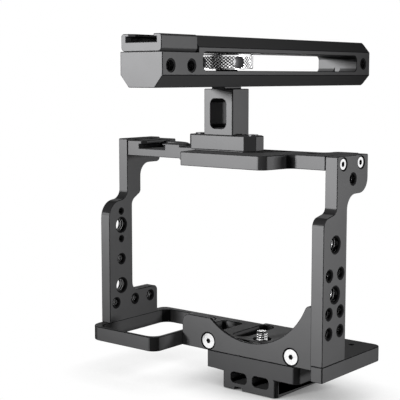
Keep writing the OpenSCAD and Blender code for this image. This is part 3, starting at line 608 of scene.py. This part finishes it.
# Studio
# A pale floor and white surroundings, a soft lamp in front that is aimed above the part,
# a weak one on the right, one behind on the left, and the photograph's camera. Places
# and lamp sizes are in metres, the camera's film and focal length in millimetres,
# angles in degrees and powers in watts.
world_strength = 0.06
floor_reach = 12
floor_drop = 0.4 * mm
shadow_reach = 30 * mm
shadow_samples = 8
paper_white = 0.8
paper_rough = 0.9
sensor_wide = 36
focal_length = 95.7
nearest = 0.01
farthest = 50
camera_place = (0.36979, -0.49593, 0.17831)
camera_tilt = 6.647
camera_turn = 39.158


def lamp(name, place, target, size, spread, power):
    light = bpy.data.lights.new(name, "AREA")
    light.spread = math.radians(spread)
    light.shape = "RECTANGLE"
    light.size, light.size_y = size
    light.energy = power
    holder = bpy.data.objects.new(name, light)
    bpy.context.scene.collection.objects.link(holder)
    holder.location = place
    holder.visible_camera = False
    holder.rotation_mode = "QUATERNION"
    holder.rotation_quaternion = (Vector(target) - Vector(place)).to_track_quat("-Z", "Y")


lamp("front_lamp", place=(-0.3, -1.17, 0.285), target=(0.08, 0, 0.515),
     size=(0.2, 0.12), spread=53, power=7.3)
lamp("side_lamp", place=(0.66, 0.17, 0.146), target=(0, -0.2, 0.159),
     size=(0.12, 0.06), spread=54, power=0.42)
lamp("rear_lamp", place=(-0.6, 0.7, 0.08), target=(0, 0, 0.1),
     size=(0.3, 0.12), spread=60, power=0.7)


def shown_white(tree, inner, strength):
    path = tree.nodes.new("ShaderNodeLightPath")
    seen = tree.nodes.new("ShaderNodeMath")
    seen.operation = "MAXIMUM"
    tree.links.new(path.outputs["Is Camera Ray"], seen.inputs[0])
    tree.links.new(path.outputs["Is Glossy Ray"], seen.inputs[1])
    either = tree.nodes.new("ShaderNodeMath")
    either.operation = "MAXIMUM"
    tree.links.new(seen.outputs[0], either.inputs[0])
    tree.links.new(path.outputs["Is Transmission Ray"], either.inputs[1])
    share = tree.nodes.new("ShaderNodeMath")
    share.operation = "MULTIPLY"
    tree.links.new(either.outputs[0], share.inputs[0])
    if isinstance(strength, bpy.types.NodeSocket):
        tree.links.new(strength, share.inputs[1])
    else:
        share.inputs[1].default_value = strength
    mix = tree.nodes.new("ShaderNodeMixShader")
    tree.links.new(share.outputs[0], mix.inputs["Fac"])
    tree.links.new(inner, mix.inputs[1])
    return mix


world = bpy.data.worlds.new("studio")
bpy.context.scene.world = world
world.use_nodes = True
sky = world.node_tree
dim = sky.nodes["Background"]
dim.inputs["Color"].default_value = (1, 1, 1, 1)
dim.inputs["Strength"].default_value = world_strength
white = sky.nodes.new("ShaderNodeBackground")
white.inputs["Color"].default_value = (1, 1, 1, 1)
white.inputs["Strength"].default_value = 1
choice = shown_white(sky, dim.outputs["Background"], 1)
sky.links.new(white.outputs["Background"], choice.inputs[2])
sky.links.new(choice.outputs["Shader"], sky.nodes["World Output"].inputs["Surface"])

floor_corners = [(-floor_reach, -floor_reach, 0), (floor_reach, -floor_reach, 0),
                 (floor_reach, floor_reach, 0), (-floor_reach, floor_reach, 0)]
floor_mesh = bpy.data.meshes.new("studio_floor")
floor_mesh.from_pydata(floor_corners, [], [range(len(floor_corners))])
floor = bpy.data.objects.new("studio_floor", floor_mesh)
bpy.context.scene.collection.objects.link(floor)
floor.location.z = -floor_drop
paper, paper_tree, paper_shader = new_finish("white_paper")
paper_shader.inputs["Base Color"].default_value = (paper_white, paper_white, paper_white, 1)
paper_shader.inputs["Roughness"].default_value = paper_rough
paper_shader.inputs["Specular IOR Level"].default_value = 0
glow = paper_tree.nodes.new("ShaderNodeEmission")
glow.inputs["Strength"].default_value = 1
paper_open = paper_tree.nodes.new("ShaderNodeAmbientOcclusion")
paper_open.inputs["Distance"].default_value = shadow_reach
paper_open.samples = shadow_samples
paper_mix = shown_white(paper_tree, paper_shader.outputs["BSDF"], paper_open.outputs["AO"])
paper_tree.links.new(glow.outputs["Emission"], paper_mix.inputs[2])
paper_tree.links.new(paper_mix.outputs["Shader"], paper_tree.nodes["Material Output"].inputs["Surface"])
floor_mesh.materials.append(paper)

camera_data = bpy.data.cameras.new("photo_camera")
camera_data.sensor_width = sensor_wide
camera_data.lens = focal_length
camera_data.clip_start = nearest
camera_data.clip_end = farthest
camera = bpy.data.objects.new("photo_camera", camera_data)
bpy.context.scene.collection.objects.link(camera)
camera.location = camera_place
camera.rotation_euler = (math.radians(90 - camera_tilt), 0, math.radians(camera_turn))
bpy.context.scene.camera = camera
bpy.context.scene.view_settings.view_transform = "Standard"
